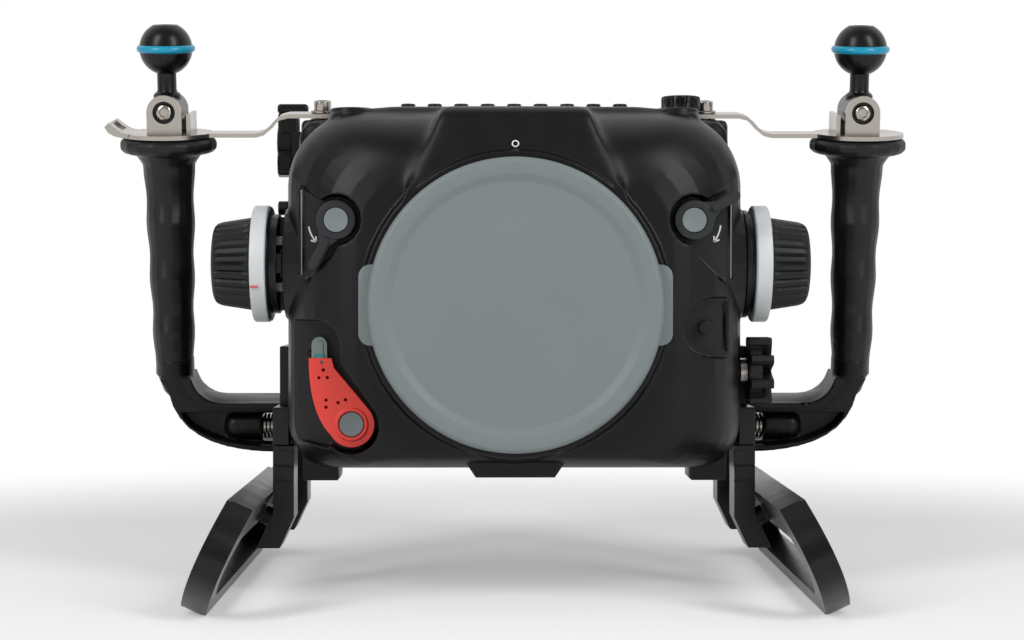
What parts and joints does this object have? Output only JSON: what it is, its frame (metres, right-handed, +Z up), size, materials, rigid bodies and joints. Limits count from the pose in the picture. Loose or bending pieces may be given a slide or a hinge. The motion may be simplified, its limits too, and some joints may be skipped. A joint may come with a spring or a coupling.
{
  "type": "underwater camera housing",
  "caption": "Underwater housing for a video camera: capped port, levers, buttons and focus knobs, side handles with ball mounts, leg loops and a hinged back cover.",
  "frame": {"origin": "middle of the bounding box on the plane that the leg loops stand on", "axes": "+X to the right of someone who faces the port, +Y away from them towards the back cover, +Z up"},
  "size_m": [0.3874, 0.2652, 0.2724],
  "materials": {
    "black_metal": "black, hard anodised, satin",
    "black_plastic": "matt",
    "black_rubber": "matt, moulded",
    "grey_plastic": "satin",
    "red_plastic": "satin",
    "pale_plastic": "satin",
    "blue_rubber": "smooth",
    "stainless": "bright, formed",
    "clear_window": "clear"
  },
  "bodies": {
    "housing": {"front_shell": "black_metal", "hinge_pin": "stainless", "back_latch_base": "black_metal", "port_ring": "black_metal", "control_wheel_gland": "stainless", "left_knob_stand": "black_metal", "right_knob_collar": "black_metal", "camera_tray": "black_metal", "left_side_rail": "black_metal", "left_front_leg": "black_metal", "left_rear_leg": "black_metal", "left_leg_loop": "black_metal", "left_handle_arm": "black_metal", "left_handle_grip": "black_rubber", "left_handle_plate": "stainless", "left_ball_pivot_bolt": "stainless", "left_shoulder_bolt": "stainless", "right_side_rail": "black_metal", "right_front_leg": "black_metal", "right_rear_leg": "black_metal", "right_leg_loop": "black_metal", "right_handle_arm": "black_metal", "right_handle_grip": "black_rubber", "right_handle_plate": "stainless", "right_ball_pivot_bolt": "stainless", "right_shoulder_bolt": "stainless"},
    "cover": {"back_cover": "black_metal", "back_cover_seal": "black_rubber", "back_window": "clear_window"},
    "latch": {"back_latch_lever": "black_metal"},
    "cap": {"port_cap": "grey_plastic"},
    "left_lock": {"left_lock_lever": "black_metal", "left_lock_disc": "grey_plastic"},
    "right_lock": {"right_lock_lever": "black_metal", "right_lock_disc": "grey_plastic"},
    "record": {"record_lever": "red_plastic", "record_lever_disc": "grey_plastic", "record_lever_tip": "grey_plastic"},
    "lens_release": {"lens_release_button": "black_plastic"},
    "dial": {"top_dial": "black_metal"},
    "side_push": {"side_button": "black_plastic"},
    "wheel": {"control_wheel": "black_metal"},
    "left_knob": {"left_knob_ring": "pale_plastic", "left_knob_grip": "black_rubber"},
    "right_knob": {"right_knob_ring": "pale_plastic", "right_knob_grip": "black_rubber"},
    "left_ball": {"left_ball_mount": "black_metal", "left_ball_ring": "blue_rubber"},
    "right_ball": {"right_ball_mount": "black_metal", "right_ball_ring": "blue_rubber"},
    "tray_screw": {"camera_screw": "stainless"},
    "push_1": {"top_button_1": "black_plastic"},
    "push_2": {"top_button_2": "black_plastic"},
    "push_3": {"top_button_3": "black_plastic"},
    "push_4": {"top_button_4": "black_plastic"},
    "push_5": {"top_button_5": "black_plastic"},
    "push_6": {"top_button_6": "black_plastic"},
    "push_7": {"top_button_7": "black_plastic"},
    "push_8": {"top_button_8": "black_plastic"},
    "push_9": {"top_button_9": "black_plastic"}
  },
  "joints": [
    {"name": "top_button_1_push", "type": "slide", "parent": "housing", "child": "push_1", "axis": [0, 0, -1], "range_m": [0, 0.0014], "stiffness_N_per_m": 600},
    {"name": "top_button_2_push", "type": "slide", "parent": "housing", "child": "push_2", "axis": [0, 0, -1], "range_m": [0, 0.0014], "stiffness_N_per_m": 600},
    {"name": "top_button_3_push", "type": "slide", "parent": "housing", "child": "push_3", "axis": [0, 0, -1], "range_m": [0, 0.0014], "stiffness_N_per_m": 600},
    {"name": "top_button_4_push", "type": "slide", "parent": "housing", "child": "push_4", "axis": [0, 0, -1], "range_m": [0, 0.0014], "stiffness_N_per_m": 600},
    {"name": "top_button_5_push", "type": "slide", "parent": "housing", "child": "push_5", "axis": [0, 0, -1], "range_m": [0, 0.0014], "stiffness_N_per_m": 600},
    {"name": "top_button_6_push", "type": "slide", "parent": "housing", "child": "push_6", "axis": [0, 0, -1], "range_m": [0, 0.0014], "stiffness_N_per_m": 600},
    {"name": "top_button_7_push", "type": "slide", "parent": "housing", "child": "push_7", "axis": [0, 0, -1], "range_m": [0, 0.0014], "stiffness_N_per_m": 600},
    {"name": "top_button_8_push", "type": "slide", "parent": "housing", "child": "push_8", "axis": [0, 0, -1], "range_m": [0, 0.0014], "stiffness_N_per_m": 600},
    {"name": "top_button_9_push", "type": "slide", "parent": "housing", "child": "push_9", "axis": [0, 0, -1], "range_m": [0, 0.0014], "stiffness_N_per_m": 600},
    {"name": "side_button_push", "type": "slide", "parent": "housing", "child": "side_push", "axis": [1, 0, 0], "range_m": [0, 0.002], "stiffness_N_per_m": 600},
    {"name": "lens_release_push", "type": "slide", "parent": "housing", "child": "lens_release", "axis": [0, 1, 0], "range_m": [0, 0.002], "stiffness_N_per_m": 600},
    {"name": "top_dial_turn", "type": "hinge", "parent": "housing", "child": "dial", "pos_m": [0.08205, -0.024, 0.232], "axis": [0, 0, 1], "continuous": true},
    {"name": "control_wheel_turn", "type": "hinge", "parent": "housing", "child": "wheel", "pos_m": [0.11655, -0.034, 0.1054], "axis": [1, 0, 0], "continuous": true},
    {"name": "left_knob_turn", "type": "hinge", "parent": "housing", "child": "left_knob", "pos_m": [-0.12245, -0.032, 0.156], "axis": [1, 0, 0], "continuous": true},
    {"name": "right_knob_turn", "type": "hinge", "parent": "housing", "child": "right_knob", "pos_m": [0.12755, -0.032, 0.156], "axis": [1, 0, 0], "continuous": true},
    {"name": "left_lock_turn", "type": "hinge", "parent": "housing", "child": "left_lock", "pos_m": [-0.07885, -0.07, 0.1755], "axis": [0, 1, 0], "range_deg": [0, 90]},
    {"name": "right_lock_turn", "type": "hinge", "parent": "housing", "child": "right_lock", "pos_m": [0.08395, -0.07, 0.1755], "axis": [0, 1, 0], "range_deg": [0, 90]},
    {"name": "record_lever_press", "type": "hinge", "parent": "housing", "child": "record", "pos_m": [-0.07245, -0.062, 0.0821], "axis": [0, 1, 0], "range_deg": [-12, 0], "stiffness_Nm_per_rad": 0.4},
    {"name": "port_cap_pull", "type": "slide", "parent": "housing", "child": "cap", "axis": [0, -1, 0], "range_m": [0, 0.04]},
    {"name": "back_cover_swing", "type": "hinge", "parent": "housing", "child": "cover", "pos_m": [0.11355, 0.066, 0.144], "axis": [0, 0, -1], "range_deg": [0, 100]},
    {"name": "back_latch_turn", "type": "hinge", "parent": "housing", "child": "latch", "pos_m": [-0.11345, 0.055, 0.219], "axis": [-1, 0, 0], "range_deg": [0, 90]},
    {"name": "camera_screw_turn", "type": "hinge", "parent": "housing", "child": "tray_screw", "pos_m": [0.00255, 0.005, 0.08], "axis": [0, 0, 1], "continuous": true},
    {"name": "left_ball_tilt", "type": "hinge", "parent": "housing", "child": "left_ball", "pos_m": [-0.16505, -0.00652, 0.23053], "axis": [0, 0.9854, 0.1702], "range_deg": [-30, 30]},
    {"name": "right_ball_tilt", "type": "hinge", "parent": "housing", "child": "right_ball", "pos_m": [0.17015, -0.00652, 0.23053], "axis": [0, 0.9854, 0.1702], "range_deg": [-30, 30]}
  ]
}
